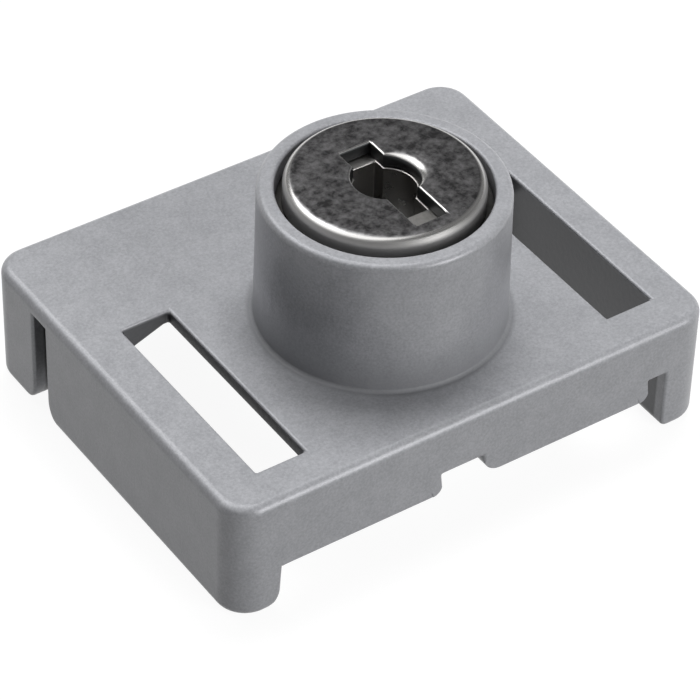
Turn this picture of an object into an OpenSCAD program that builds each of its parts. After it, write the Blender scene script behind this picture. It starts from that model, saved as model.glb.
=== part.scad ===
// Key-operated security lock for the track of a sliding window.
// The die-cast housing stands over the track's upright rail, which passes through the slots
// of its two end blocks. A quarter turn of the key swings a crank, and the crank drives a
// jaw that grips the rail against an anvil on the housing.
// Frame: millimetres, +Z up, z = 0 where the end blocks stand on the track. The origin is the
// middle of the housing's footprint. +X runs along the rail, and -Y is the front with the two
// skirt tabs.

/* [Housing] */
// Length along the rail
body_l = 48.4; // [48:0.1:56]
// Width across the rail
body_w = 39; // [38:0.2:44]
// Height of the flat top plate above the track
body_h = 11.9; // [11.5:0.1:14]
// Thickness of the top plate
plate_t = 1.5; // [1.2:0.1:1.8]
// Thickness of the front and back skirts
skirt_t = 1.6; // [1.2:0.1:2]
// Thickness of the solid end blocks along the rail
end_t = 4.55; // [4.2:0.05:5]
// Radius of the housing's upright corners
corner_r = 2.8; // [1.6:0.1:3.5]
// Radius of the rounded edge round the top plate
edge_r = 0.9; // [0.4:0.1:1.4]
// Radius of the rounded edge round the end blocks' feet
foot_r = 0.9; // [0.3:0.1:1]
// Radius of the left end block's lower inner edge
left_edge_r = 2; // [0.6:0.1:2.2]
// Radius of the right end block's lower inner edge
right_edge_r = 1.2; // [0.6:0.1:2.2]
// Width of the sloped gusset where the plate meets an end block
gusset_w = 4.2; // [2:0.1:5]
// Height of that gusset at the end block
gusset_h = 1.6; // [0.8:0.1:2]

/* [Skirt] */
// Depth of the front and back skirts below the plate's top
skirt_d = 5.3; // [5:0.1:6]
// Depth that the front tabs reach below the skirt
tab_d = 2.1; // [1:0.1:2.3]
// Length of the left tab, from the left end block
left_tab_l = 15.9; // [12:0.1:16.2]
// Left end of the right tab
right_tab_x = 0.5; // [-1:0.1:1.5]
// Length of the right tab
right_tab_l = 17.3; // [14:0.1:18]
// Radius of the tabs' lower corners
tab_r = 0.9; // [0.4:0.1:1]
// Radius of the right tab's lower left corner
tab_lead_r = 1.8; // [1:0.1:2]
// Height of the shallow recess along the foot of each tab
recess_h = 1.2; // [0.8:0.1:1.5]
// Depth of that recess
recess_d = 0.25; // [0.15:0.05:0.4]

/* [Plate slots] */
// Width of the two slots through the plate
slot_w = 4.7; // [4.2:0.1:5]
// Length of the two slots
slot_l = 20.8; // [16:0.1:22]
// Distance from the front face to a slot's near end
slot_front = 3.9; // [3:0.1:5]

/* [Rail slot] */
// Width of the slot that each end block leaves for the rail
rail_w = 2.1; // [1.6:0.1:2.4]
// Distance from the front face to the rail slot's near side
rail_front = 29.75; // [29.7:0.05:31]
// Thickness of metal left above the rail slot
rail_roof = 1.5; // [1.2:0.1:2.2]
// Radius of the rail slot's two lower corners
rail_lead_r = 2.4; // [1:0.1:2.6]

/* [Boss] */
// Distance from the left end face to the boss's axis
boss_left = 24.6; // [24.2:0.1:25]
// Distance from the front face to the boss's axis
boss_front = 15.4; // [15.1:0.1:15.7]
// Height of the boss above the plate
boss_h = 13.1; // [12.5:0.1:14]
// Radius of the boss at its rim
boss_r = 10.65; // [10.4:0.05:11.2]
// How much wider the boss is at its base
boss_draft = 0.2; // [0.1:0.1:0.6]
// Radius of the fillet between boss and plate
boss_fillet = 0.4; // [0.3:0.1:1]
// Radius of the boss's rounded rim, outside
rim_r = 0.55; // [0.3:0.05:0.6]
// Radius of the boss's rounded rim, inside
rim_in_r = 0.3; // [0.2:0.05:0.4]

/* [Lock barrel] */
// Radius of the barrel's head
head_r = 9.05; // [8.9:0.05:9.3]
// Thickness of the barrel's head
head_t = 1.9; // [1.6:0.1:2.1]
// Radius of the barrel's body
barrel_r = 8; // [7.8:0.05:8.2]
// Half the distance across the barrel's two flats
barrel_flat = 7.3; // [7.2:0.05:7.5]
// How far the barrel reaches below the top plate
barrel_below = 3.3; // [3.2:0.1:3.5]
// Radius of the spigot that carries the face cap
spigot_r = 7.85; // [7.8:0.05:7.9]
// Wire radius of the sealing ring under the head
seal_wire_r = 0.45; // [0.4:0.05:0.5]
// Radius of the hardened pins in the barrel's face
drill_pin_r = 0.6; // [0.4:0.05:0.65]
// Length of the hardened pins
drill_pin_l = 6.5; // [4:0.5:8]
// Thickness of the horseshoe clip under the plate
clip_t = 1; // [0.8:0.1:1.1]
// Outer radius of the horseshoe clip
clip_r = 9.3; // [9:0.1:9.5]
// Depth of the clip's groove in the barrel
clip_groove_d = 0.8; // [0.75:0.05:0.9]

/* [Face cap] */
// Radius of the steel face cap
cap_r = 8.5; // [8.4:0.05:8.6]
// Thickness of the cap's face
cap_t = 1.2; // [1:0.1:1.4]
// Height of the cap's face above the boss's rim
cap_proud = 1; // [0.8:0.1:1.2]
// Length of the cap's skirt below its face
cap_skirt = 1.3; // [1:0.1:1.4]
// Radius of the cap's rounded edge
cap_edge_r = 0.75; // [0.3:0.05:0.9]
// Radius of the keyhole's round middle
key_hole_r = 2.9; // [2.8:0.05:3.1]
// Width of the keyhole's two wings
wing_w = 3; // [2.8:0.1:3.4]
// Length over the keyhole's two wings
wing_l = 11.1; // [10:0.1:11.4]
// How far the wings sit in front of the round middle
wing_shift = 1.05; // [0:0.05:1.15]
// Width of the countersink round the keyhole's middle
key_sink = 0.6; // [0.2:0.05:0.7]
// Width of the broken edge round the wings
wing_sink = 0.1; // [0.05:0.05:0.25]

/* [Key core] */
// Radius of the turning core
core_r = 5.8; // [5.7:0.05:5.9]
// Width of the core's keyway
keyway_w = 2.8; // [2.6:0.1:3]
// Length of the core's keyway
keyway_l = 7.6; // [7.4:0.1:8.2]
// How far the keyway sits in front of the core's middle
keyway_shift = 0.3; // [0:0.05:0.45]
// Depth of the core's keyway
keyway_d = 6.8; // [6:0.1:6.9]
// Radius of the core's round bore for the key's shank
shank_r = 2.7; // [2.5:0.05:2.8]
// Depth of the shank bore, down to the shutter's shoulder
shank_d = 5.5; // [5:0.1:5.8]
// Angle that the key turns
key_turn = 90; // [80:1:92]
// Radius of the stop pin
stop_pin_r = 0.8; // [0.7:0.05:0.9]
// Depth of the core's groove for the stop pin
stop_groove_d = 0.85; // [0.7:0.05:0.9]
// Height of the stop pin above the core's foot
stop_z = 4.1; // [4:0.1:4.3]
// Wire radius of the core's sealing ring
core_seal_r = 0.5; // [0.45:0.05:0.55]
// Depth of the core's sealing ring below the core's top
core_seal_d = 2.4; // [2:0.1:3]
// Thickness of the circlip in the barrel's foot
circlip_t = 0.5; // [0.4:0.05:0.55]
// Depth of the circlip's groove in the barrel
circlip_groove_d = 0.55; // [0.5:0.05:0.6]
// Thickness of the thrust washer under the crank
washer_t = 0.42; // [0.35:0.01:0.45]

/* [Key shutter] */
// Radius of the shutter's flange
shutter_r = 3.02; // [3:0.01:3.1]
// Thickness of the shutter's flange
shutter_flange_t = 1.2; // [0.8:0.1:1.5]
// Height of the shutter's stem above its flange
shutter_stem_h = 0.8; // [0.5:0.1:1.2]
// Wire radius of the shutter's spring
spring_wire_r = 0.25; // [0.2:0.01:0.28]
// Turns of the shutter's spring
spring_turns = 5; // [4:0.5:5]

/* [Crank] */
// Distance from the core's axis to the crank pin
crank_e = 1.9; // [1.8:0.05:1.95]
// Radius of the crank pin
crank_pin_r = 1.4; // [1.2:0.05:1.45]
// Radius of the crank's flange
crank_flange_r = 5.6; // [5.5:0.05:5.7]
// Thickness of the crank's flange
crank_flange_t = 1.2; // [1:0.05:1.25]
// Height of the spigot that centres the crank in the core
crank_spigot_h = 2.1; // [1.8:0.1:2.4]
// Radius of the two drive dowels
dowel_r = 0.6; // [0.5:0.05:0.65]
// Distance from the core's axis to a drive dowel
dowel_x = 4.4; // [4.2:0.05:4.5]

/* [Jaw] */
// Half the width of the slide between the posts
slide_half_w = 4.9; // [4.7:0.05:4.95]
// Thickness of the slide
slide_t = 1.7; // [1.4:0.1:1.8]
// How far the slide reaches in front of the boss's axis
slide_front = 7; // [5:0.5:9]
// Half the width of the jaw's upright lip
lip_half_w = 9.3; // [8.8:0.1:9.5]
// Thickness of the lip
lip_t = 1.5; // [1.2:0.1:1.6]
// Clearance between lip and plate
lip_gap = 0.3; // [0.2:0.05:0.4]
// Thickness of the rubber pad on the lip
jaw_pad_t = 0.7; // [0.5:0.05:0.8]
// Gap left between the pads when the jaw is shut on no rail
shut_gap = 0.25; // [0.2:0.05:0.4]
// Radius of the pad's rivets
rivet_r = 0.8; // [0.6:0.05:0.9]
// Distance between the pad's two rivets
rivet_pitch = 6; // [5:0.5:8]

/* [Anvil and guide] */
// Half the length of the anvil rib behind the rail
anvil_half_l = 14; // [12:0.5:15]
// Thickness of the anvil rib
anvil_t = 2; // [1.6:0.1:2.5]
// Height of the anvil rib below the plate
anvil_h = 5.9; // [5.5:0.1:6]
// Thickness of the rubber pad on the anvil
anvil_pad_t = 0.6; // [0.5:0.05:0.8]
// Distance from the boss's axis to a guide post, along the rail
post_x = 6.8; // [6.75:0.05:6.9]
// Distance from the boss's axis to a guide post, across the rail
post_y = 9.2; // [9.1:0.05:9.3]
// Radius of a guide post
post_r = 1.8; // [1.7:0.05:1.85]
// Length of a guide post below the plate
post_h = 5.6; // [5.6:0.05:5.7]
// Thickness of the guide plate
guide_t = 1.3; // [1:0.1:1.4]
// Half the width of the guide plate
guide_half_w = 9.2; // [9:0.1:9.5]
// Radius of the guide screws' thread
screw_r = 1; // [0.9:0.05:1.1]
// Radius of the guide screws' head
screw_head_r = 1.9; // [1.8:0.05:2]
// Height of the guide screws' head
screw_head_h = 1.2; // [1:0.1:1.4]
// Width of the screw heads' cross recess
recess_w = 0.5; // [0.4:0.05:0.6]

/* [Hidden] */
$fn = 64;
// Clearance of pieces that are fitted together and stay still
fit = 0.05;
// Clearance of pieces that slide or turn on each other
run = 0.1;
// Overshoot of cuts past the faces that they open
over = 1;

front_y = -body_w / 2;
boss_y = front_y + boss_front;
end_x = body_l / 2;
boss_x = boss_left - end_x;
block_x = end_x - end_t;
slot_x = boss_left - end_t;
under_z = body_h - plate_t;
skirt_z = body_h - skirt_d;
rim_z = body_h + boss_h;

cap_top = rim_z + cap_proud;
cap_under = cap_top - cap_t;
cap_foot = cap_under - cap_skirt;
head_top = cap_foot - run;
head_foot = head_top - head_t;
seat_z = head_foot - 2 * seal_wire_r;
barrel_top = cap_under - fit;
barrel_foot = under_z - barrel_below;
barrel_bore = core_r + fit;

circlip_z = barrel_foot + 0.45;
circlip_r = barrel_bore + circlip_groove_d;
washer_z = circlip_z + circlip_t + fit;
crank_z = washer_z + washer_t + fit;
core_foot = crank_z + crank_flange_t;
core_top = cap_under - run;
shoulder_z = core_top - shank_d;
core_bore = shutter_r + 0.08;
shutter_top = shoulder_z - run;
shutter_foot = shutter_top - shutter_flange_t;
spring_foot = core_foot + crank_spigot_h;
stop_r_in = core_r - stop_groove_d;

rail_y = front_y + rail_front;
anvil_face = rail_y + rail_w;
jaw_travel = 2 * crank_e * sin(key_turn / 2);
lip_y = anvil_face - shut_gap - jaw_travel - jaw_pad_t - lip_t;
guide_z = under_z - post_h;
slide_z = guide_z + run;
crank_pin_foot = slide_z + run;
screw_foot = guide_z - guide_t - screw_head_h;

// Ring between two radii
module ring(z, h, inner, outer) {
  translate([0, 0, z])
    difference() {
      cylinder(h = h, r = outer);
      translate([0, 0, -over]) cylinder(h = h + 2 * over, r = inner);
    }
}

// Ring of round wire
module wire_ring(z, inner, wire_r) {
  translate([0, 0, z])
    rotate_extrude()
      translate([inner + wire_r, 0]) circle(r = wire_r);
}

// Corner that a fillet of radius r cuts from, or adds to, a right angle at the origin
module fillet_2d(r) {
  difference() {
    translate([-over, -over]) square(r + over);
    translate([r, r]) circle(r = r);
  }
}

// Fillet strip that stays inside its own right angle
module fillet_in_2d(r) {
  difference() {
    square(r);
    translate([r, r]) circle(r = r);
  }
}

// Outline drawn in X and Z, pushed along +Y from y
module along_y(y, depth) {
  translate([0, y + depth, 0])
    rotate([90, 0, 0])
      linear_extrude(depth) children();
}

// Outline drawn in Y and Z, pushed along +X from x
module along_x(x, depth) {
  translate([x, 0, 0])
    rotate([90, 0, 90])
      linear_extrude(depth) children();
}

// Rectangle with rounded corners
module rounded_rect(l, w, r) {
  square([l - 2 * r, w], center = true);
  square([l, w - 2 * r], center = true);
  for (sx = [-1, 1], sy = [-1, 1])
    translate([sx * (l / 2 - r), sy * (w / 2 - r)]) circle(r = r);
}

// Cutter that rounds the lower edge of a block with upright round corners
module edge_cutter(l, w, plan_r, r) {
  for (s = [0, 1]) {
    mirror([0, s, 0])
      along_x(plan_r - l / 2, l - 2 * plan_r)
        translate([w / 2, 0]) mirror([1, 0]) fillet_2d(r);
    mirror([s, 0, 0])
      along_y(plan_r - w / 2, w - 2 * plan_r)
        translate([l / 2, 0]) mirror([1, 0]) fillet_2d(r);
  }
  for (sx = [0, 1], sy = [0, 1])
    mirror([sx, 0, 0]) mirror([0, sy, 0])
      translate([l / 2 - plan_r, w / 2 - plan_r, 0])
        rotate_extrude(angle = 90)
          translate([plan_r, 0]) mirror([1, 0]) fillet_2d(r);
}

// Front tab in X and Z with a radius at each lower corner
module tab_2d(x, l, left_r, right_r) {
  translate([x, skirt_z - tab_d])
    difference() {
      square([l, tab_d + over]);
      fillet_2d(left_r);
      translate([l, 0]) mirror([1, 0]) fillet_2d(right_r);
    }
}

// Rounded lower inner edges of the two end blocks in X and Z
module foot_edges_2d() {
  translate([block_x, 0]) fillet_2d(right_edge_r);
  mirror([1, 0]) translate([block_x, 0]) fillet_2d(left_edge_r);
}

// Hollow below the plate: straight end blocks with sloped gussets and rounded lower edges
module hollow_2d() {
  polygon([
    [-block_x, -over],
    [-block_x, under_z - gusset_h],
    [-block_x + gusset_w, under_z],
    [block_x - gusset_w, under_z],
    [block_x, under_z - gusset_h],
    [block_x, -over]
  ]);
  foot_edges_2d();
}

// Slot for the rail in Y and Z with a rounded mouth
module rail_slot_2d() {
  translate([rail_y, -over]) square([rail_w, body_h - rail_roof + over]);
  translate([rail_y, 0]) mirror([1, 0]) fillet_2d(rail_lead_r);
  translate([anvil_face, 0]) fillet_2d(rail_lead_r);
}

// Opening below a skirt in X and Z, with the end blocks' rounded lower edges
module skirt_opening_2d() {
  translate([-block_x, -over]) square([2 * block_x, skirt_z + over]);
  foot_edges_2d();
}

// Opening below the front skirt, which leaves its two tabs
module front_opening_2d() {
  difference() {
    skirt_opening_2d();
    tab_2d(-block_x - over, left_tab_l + over, tab_r, tab_r);
    tab_2d(right_tab_x, right_tab_l, tab_lead_r, tab_r);
  }
}

// Shallow recess along the foot of a tab, with round ends
module tab_recess(x, l) {
  along_y(front_y - over, over + recess_d)
    translate([x, skirt_z - tab_d])
      intersection() {
        translate([0, -over]) square([l, recess_h + over]);
        union() {
          translate([recess_h, -over]) square([l - 2 * recess_h, recess_h + over]);
          translate([0, -over]) square([l, over]);
          for (cx = [recess_h, l - recess_h])
            translate([cx, 0]) circle(r = recess_h);
        }
      }
}

// Tapered boss with a fillet at its base and a round rim
module boss_outside() {
  boss_base_r = boss_r + boss_draft;
  rotate_extrude() {
    difference() {
      polygon([
        [0, under_z],
        [boss_base_r, under_z],
        [boss_base_r, body_h],
        [boss_r, rim_z],
        [0, rim_z]
      ]);
      translate([boss_r, rim_z]) mirror([1, 0]) mirror([0, 1]) fillet_2d(rim_r);
    }
    translate([boss_base_r - 0.02, body_h]) fillet_in_2d(boss_fillet);
  }
}

// Mouth of the boss: counterbore for the barrel's head with a rounded lip
module boss_mouth() {
  mouth_r = head_r + run;
  translate([0, 0, seat_z]) cylinder(h = rim_z - seat_z + over, r = mouth_r);
  translate([0, 0, rim_z])
    rotate_extrude()
      translate([mouth_r, 0]) mirror([0, 1])
        fillet_2d(rim_in_r);
}

// Body of the barrel with its two flats, larger by a clearance for the hole in the housing
module barrel_body(z, h, gap) {
  intersection() {
    translate([0, 0, z]) cylinder(h = h, r = barrel_r + gap);
    translate([-barrel_r - over, -barrel_flat - gap, z])
      cube([2 * (barrel_r + over), 2 * (barrel_flat + gap), h]);
  }
}

module at_posts() {
  for (sx = [-1, 1], sy = [-1, 1])
    translate([boss_x + sx * post_x, boss_y + sy * post_y, 0]) children();
}

module at_drill_pins() {
  for (a = [45:90:315])
    rotate(a) translate([(barrel_bore + spigot_r) / 2, 0, barrel_top - drill_pin_l])
      children();
}

module at_dowels() {
  for (s = [-1, 1]) translate([s * dowel_x, 0, 0]) children();
}

module at_rivets() {
  for (s = [-1, 1])
    translate([boss_x + s * rivet_pitch / 2, lip_y, (slide_z + slide_t + under_z) / 2])
      children();
}

// Die-cast zinc body
module housing() {
  screw_hole_h = post_h - 0.8;
  color("#a4a6a9")
    difference() {
      union() {
        difference() {
          union() {
            linear_extrude(body_h) rounded_rect(body_l, body_w, corner_r);
            translate([boss_x, boss_y, 0]) boss_outside();
          }
          along_y(-body_w / 2 + skirt_t, body_w - 2 * skirt_t) hollow_2d();
          along_y(front_y - over, skirt_t + 2 * over) front_opening_2d();
          along_y(-front_y - skirt_t - over, skirt_t + 2 * over) skirt_opening_2d();
          along_x(-end_x - over, body_l + 2 * over) rail_slot_2d();
          edge_cutter(body_l, body_w, corner_r, foot_r);
          translate([0, 0, body_h])
            mirror([0, 0, 1]) edge_cutter(body_l, body_w, corner_r, edge_r);
          for (x = [boss_x - slot_x, boss_x + slot_x - slot_w])
            translate([x, front_y + slot_front, -over])
              cube([slot_w, slot_l, body_h + 2 * over]);
          tab_recess(-block_x, left_tab_l - tab_r);
          tab_recess(right_tab_x, right_tab_l - tab_r);
        }
        translate([boss_x - anvil_half_l, anvil_face + anvil_pad_t, under_z - anvil_h])
          cube([2 * anvil_half_l, anvil_t, anvil_h + 0.2]);
        at_posts() translate([0, 0, guide_z]) cylinder(h = post_h + 0.2, r = post_r);
      }
      translate([boss_x, boss_y, 0]) {
        boss_mouth();
        barrel_body(under_z - over, seat_z - under_z + 2 * over, fit);
      }
      at_posts() translate([0, 0, guide_z - over])
        cylinder(h = screw_hole_h + over, r = screw_r + 0.02);
    }
}

// Rubber strip glued to the anvil rib
module anvil_pad() {
  color("#232324")
    translate([boss_x - anvil_half_l + 1, anvil_face, under_z - anvil_h + 0.4])
      cube([2 * (anvil_half_l - 1), anvil_pad_t, anvil_h - 0.9]);
}

// Fixed barrel: head in the counterbore, flats against turning, bore for the core
module lock_barrel() {
  color("#8f8f88")
    translate([boss_x, boss_y, 0])
      difference() {
        union() {
          barrel_body(barrel_foot, head_foot - barrel_foot, 0);
          translate([0, 0, head_foot]) cylinder(h = head_t, r = head_r);
          translate([0, 0, head_top - over]) cylinder(h = barrel_top - head_top + over, r = spigot_r);
        }
        translate([0, 0, barrel_foot - over])
          cylinder(h = barrel_top - barrel_foot + 2 * over, r = barrel_bore);
        ring(under_z - clip_t - 3 * fit, clip_t + 2 * fit, barrel_r - clip_groove_d, barrel_r + over);
        translate([0, 0, circlip_z - fit])
          cylinder(h = circlip_t + 2 * fit, r = circlip_r);
        at_drill_pins() translate([0, 0, -0.02])
          cylinder(h = drill_pin_l + over, r = drill_pin_r + 0.02);
        rotate(45) translate([0, 0, core_foot + stop_z])
          rotate([0, 90, 0]) cylinder(h = barrel_r + over, r = stop_pin_r + 0.02);
      }
}

// Four hardened pins in the barrel's face
module drill_pins() {
  color("#70757a")
    translate([boss_x, boss_y, 0])
      at_drill_pins() cylinder(h = drill_pin_l - 0.03, r = drill_pin_r);
}

module keyhole_2d() {
  circle(r = key_hole_r);
  translate([0, -wing_shift]) square([wing_w, wing_l], center = true);
}

// Steel cap pressed over the barrel's spigot
module face_cap() {
  color("#56585a")
    translate([boss_x, boss_y, 0])
      difference() {
        union() {
          translate([0, 0, cap_foot]) cylinder(h = cap_top - cap_edge_r - cap_foot, r = cap_r);
          translate([0, 0, cap_foot]) cylinder(h = cap_top - cap_foot, r = cap_r - cap_edge_r);
          translate([0, 0, cap_top - cap_edge_r])
            rotate_extrude() translate([cap_r - cap_edge_r, 0]) circle(r = cap_edge_r);
        }
        translate([0, 0, cap_foot - over])
          cylinder(h = cap_under - cap_foot + over, r = spigot_r + fit);
        translate([0, 0, cap_under - over]) linear_extrude(cap_t + 2 * over) keyhole_2d();
        translate([0, 0, cap_top - key_sink])
          cylinder(h = 2 * key_sink, r1 = key_hole_r, r2 = key_hole_r + 2 * key_sink);
        translate([0, -wing_shift, cap_top]) wing_bevel();
      }
}

// Bevel round the two wings: a bar with sloped sides for each direction
module wing_bevel() {
  wing_bevel_bar(wing_l, wing_w);
  rotate(90) wing_bevel_bar(wing_w, wing_l);
}

module wing_bevel_bar(l, w) {
  along_y(-l / 2, l)
    polygon([
      [-w / 2 - 2 * wing_sink, wing_sink],
      [-w / 2, -wing_sink],
      [w / 2, -wing_sink],
      [w / 2 + 2 * wing_sink, wing_sink]
    ]);
}

// Rubber ring squeezed between the barrel's head and the seat in the boss
module barrel_seal() {
  color("#1f1f20")
    translate([boss_x, boss_y, 0])
      wire_ring((seat_z + head_foot) / 2, barrel_r + fit, seal_wire_r);
}

// Horseshoe clip that holds the barrel up against the plate
module barrel_clip() {
  inner = barrel_r - clip_groove_d + fit;
  color("#9a9ca0")
    translate([boss_x, boss_y, under_z - clip_t - 2 * fit])
      difference() {
        cylinder(h = clip_t, r = clip_r);
        translate([0, 0, -over]) cylinder(h = clip_t + 2 * over, r = inner);
        translate([-inner, 0, -over]) cube([2 * inner, clip_r + over, clip_t + 2 * over]);
      }
}

// Dowel in the barrel's wall that stops the core at both ends of its turn
module stop_pin() {
  color("#b8babd")
    translate([boss_x, boss_y, core_foot + stop_z])
      rotate(45) rotate([0, 90, 0])
        translate([0, 0, stop_r_in + run]) cylinder(h = barrel_r - stop_r_in - 3 * run, r = stop_pin_r);
}

// Groove in the core that the stop pin runs in
module stop_groove() {
  reach = asin((stop_pin_r + run) / stop_r_in);
  height = 2 * (stop_pin_r + run);
  translate([0, 0, core_foot + stop_z - height / 2])
    rotate(45 - key_turn - reach)
      rotate_extrude(angle = key_turn + 2 * reach)
        translate([stop_r_in, 0]) square([stop_groove_d + over, height]);
}

// Turning core with its keyway
module key_core() {
  color("#8f8f88")
    translate([boss_x, boss_y, 0])
      difference() {
        translate([0, 0, core_foot]) cylinder(h = core_top - core_foot, r = core_r);
        translate([-keyway_w / 2, -keyway_l / 2 - keyway_shift, core_top - keyway_d])
          cube([keyway_w, keyway_l, keyway_d + over]);
        translate([0, 0, core_foot]) cylinder(h = core_top - core_foot + over, r = shank_r);
        translate([0, 0, core_foot - over])
          cylinder(h = shoulder_z - core_foot + over, r = core_bore);
        ring(
          core_top - core_seal_d - core_seal_r - run, 2 * (core_seal_r + run),
          core_r - 2 * core_seal_r, core_r + over
        );
        stop_groove();
        at_dowels() translate([0, 0, core_foot - over])
          cylinder(h = crank_spigot_h + 0.6 + over, r = dowel_r + 0.02);
      }
}

// Rubber ring that seals the core and gives its turn some drag
module core_seal() {
  color("#1f1f20")
    translate([boss_x, boss_y, 0])
      wire_ring(core_top - core_seal_d, core_r - 2 * core_seal_r + 0.02, core_seal_r - 0.02);
}

// Spring-loaded shutter that fills the shank bore until a key presses it in
module shutter() {
  color("#8d8f92")
    translate([boss_x, boss_y, 0]) {
      translate([0, 0, shutter_foot]) cylinder(h = shutter_flange_t, r = shutter_r);
      translate([0, 0, shutter_top - fit])
        cylinder(h = shutter_stem_h + fit, r = shank_r - 0.08);
    }
}

// Points on the shutter spring's wire: ring i of the tube that runs up the helix
spring_sides = 6;
spring_rings = round(8 * spring_turns);
spring_coil_r = core_bore - 0.35 - spring_wire_r;
spring_rise = shutter_foot - spring_foot - 2 * (spring_wire_r + fit);
function spring_centre(i) =
  let (a = 360 * spring_turns * i / spring_rings)
  [spring_coil_r * cos(a), spring_coil_r * sin(a), spring_rise * i / spring_rings];
function spring_point(i, k) =
  let (
    a = 360 * spring_turns * i / spring_rings,
    b = 360 * k / spring_sides,
    r = spring_coil_r + spring_wire_r * cos(b)
  )
  [r * cos(a), r * sin(a), spring_rise * i / spring_rings + spring_wire_r * sin(b)];

// Least gap between the spring's turns, measured on points half a turn or more apart
spring_gap = min([
  for (i = [0:spring_rings - 4], j = [i + 4:spring_rings])
    norm(spring_centre(i) - spring_centre(j))
]) - 2 * spring_wire_r;
echo(spring_gap = spring_gap);

// Helical spring that pushes the shutter up
module shutter_spring() {
  points = [for (i = [0:spring_rings], k = [0:spring_sides - 1]) spring_point(i, k)];
  sides = [
    for (i = [0:spring_rings - 1], k = [0:spring_sides - 1])
      let (
        a = i * spring_sides + k,
        b = i * spring_sides + (k + 1) % spring_sides,
        c = b + spring_sides,
        d = a + spring_sides
      )
      each [[a, b, c], [a, c, d]]
  ];
  first = [for (k = [1:spring_sides - 2]) [0, k + 1, k]];
  last_start = spring_rings * spring_sides;
  last = [for (k = [1:spring_sides - 2]) [last_start, last_start + k, last_start + k + 1]];
  color("#c0c2c5")
    translate([boss_x, boss_y, spring_foot + spring_wire_r + fit])
      polyhedron(points = points, faces = concat(sides, first, last));
}

// Crank with its flange under the core and its pin in the jaw slide
module crank() {
  color("#7d8084")
    translate([boss_x, boss_y, 0])
      difference() {
        union() {
          translate([0, 0, crank_z]) cylinder(h = crank_flange_t, r = crank_flange_r);
          translate([0, 0, core_foot - fit])
            cylinder(h = crank_spigot_h + fit, r = core_bore - fit);
          rotate(-key_turn / 2) translate([crank_e, 0, crank_pin_foot])
            cylinder(h = crank_z - crank_pin_foot + fit, r = crank_pin_r);
        }
        at_dowels() translate([0, 0, crank_z - over])
          cylinder(h = crank_flange_t + 2 * over, r = dowel_r + 0.02);
      }
}

// Two dowels that drive the crank from the core
module drive_dowels() {
  color("#b8babd")
    translate([boss_x, boss_y, crank_z + fit])
      at_dowels() cylinder(h = crank_flange_t + crank_spigot_h, r = dowel_r);
}

module thrust_washer() {
  color("#b39a5c")
    translate([boss_x, boss_y, 0])
      ring(washer_z, washer_t, crank_e + crank_pin_r + 0.4, core_r - run);
}

// Internal circlip in the barrel's foot
module core_circlip() {
  color("#8a8d91")
    translate([boss_x, boss_y, 0])
      difference() {
        ring(circlip_z, circlip_t, circlip_r - fit - 1.4, circlip_r - fit);
        translate([-1.2, 0, circlip_z - over]) cube([2.4, circlip_r + over, circlip_t + 2 * over]);
      }
}

// Steel slide with a cross slot for the crank pin and an upright lip
module jaw_slide() {
  pin_near = crank_e * cos(key_turn / 2);
  slot_r = crank_pin_r + 0.12;
  color("#989a9e")
    difference() {
      union() {
        translate([boss_x - slide_half_w, boss_y - slide_front, slide_z])
          cube([2 * slide_half_w, lip_y + lip_t - boss_y + slide_front, slide_t]);
        translate([boss_x - lip_half_w, lip_y, slide_z])
          cube([2 * lip_half_w, lip_t, under_z - lip_gap - slide_z]);
      }
      translate([boss_x, boss_y - crank_e * sin(key_turn / 2), slide_z - over])
        linear_extrude(slide_t + 2 * over) {
          translate([pin_near, 0]) circle(r = slot_r);
          translate([crank_e, 0]) circle(r = slot_r);
          translate([pin_near, -slot_r]) square([crank_e - pin_near, 2 * slot_r]);
        }
      at_rivets() translate([0, -over, 0])
        rotate([-90, 0, 0]) cylinder(h = lip_t + 2 * over, r = rivet_r + 0.02);
    }
}

// Grooved rubber pad on the jaw's lip
module jaw_pad() {
  groove_pitch = 1.2;
  groove_count = floor((2 * lip_half_w - 1.6) / groove_pitch);
  color("#232324")
    difference() {
      translate([boss_x - lip_half_w + 0.2, lip_y + lip_t, slide_z + 0.2])
        cube([2 * lip_half_w - 0.4, jaw_pad_t, under_z - lip_gap - slide_z - 0.4]);
      for (i = [0:groove_count - 1])
        translate([(i - (groove_count - 1) / 2) * groove_pitch, lip_y + lip_t + jaw_pad_t, 0])
          translate([boss_x - 0.2, -0.25, slide_z - over]) cube([0.4, 0.25 + over, under_z]);
      at_rivets() translate([0, lip_t - over, 0])
        rotate([-90, 0, 0]) cylinder(h = jaw_pad_t + 2 * over, r = rivet_r + 0.02);
    }
}

// Two rivets through the lip and its pad
module pad_rivets() {
  color("#c3c5c8")
    at_rivets() rotate([-90, 0, 0]) {
      translate([0, 0, -0.5]) cylinder(h = 0.5, r1 = rivet_r, r2 = rivet_r + 0.4);
      cylinder(h = lip_t + jaw_pad_t - 0.3, r = rivet_r);
    }
}

// Plate screwed under the posts, which carries the jaw slide
module guide_plate() {
  plate_back = lip_y + lip_t - 0.2;
  plate_front = boss_y - post_y - post_r - 0.4;
  color("#a0a2a6")
    difference() {
      translate([boss_x, (plate_back + plate_front) / 2, guide_z - guide_t])
        linear_extrude(guide_t)
          rounded_rect(2 * guide_half_w, plate_back - plate_front, 1.5);
      at_posts() translate([0, 0, guide_z - guide_t - over])
        cylinder(h = guide_t + 2 * over, r = screw_r + 0.15);
    }
}

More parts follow.
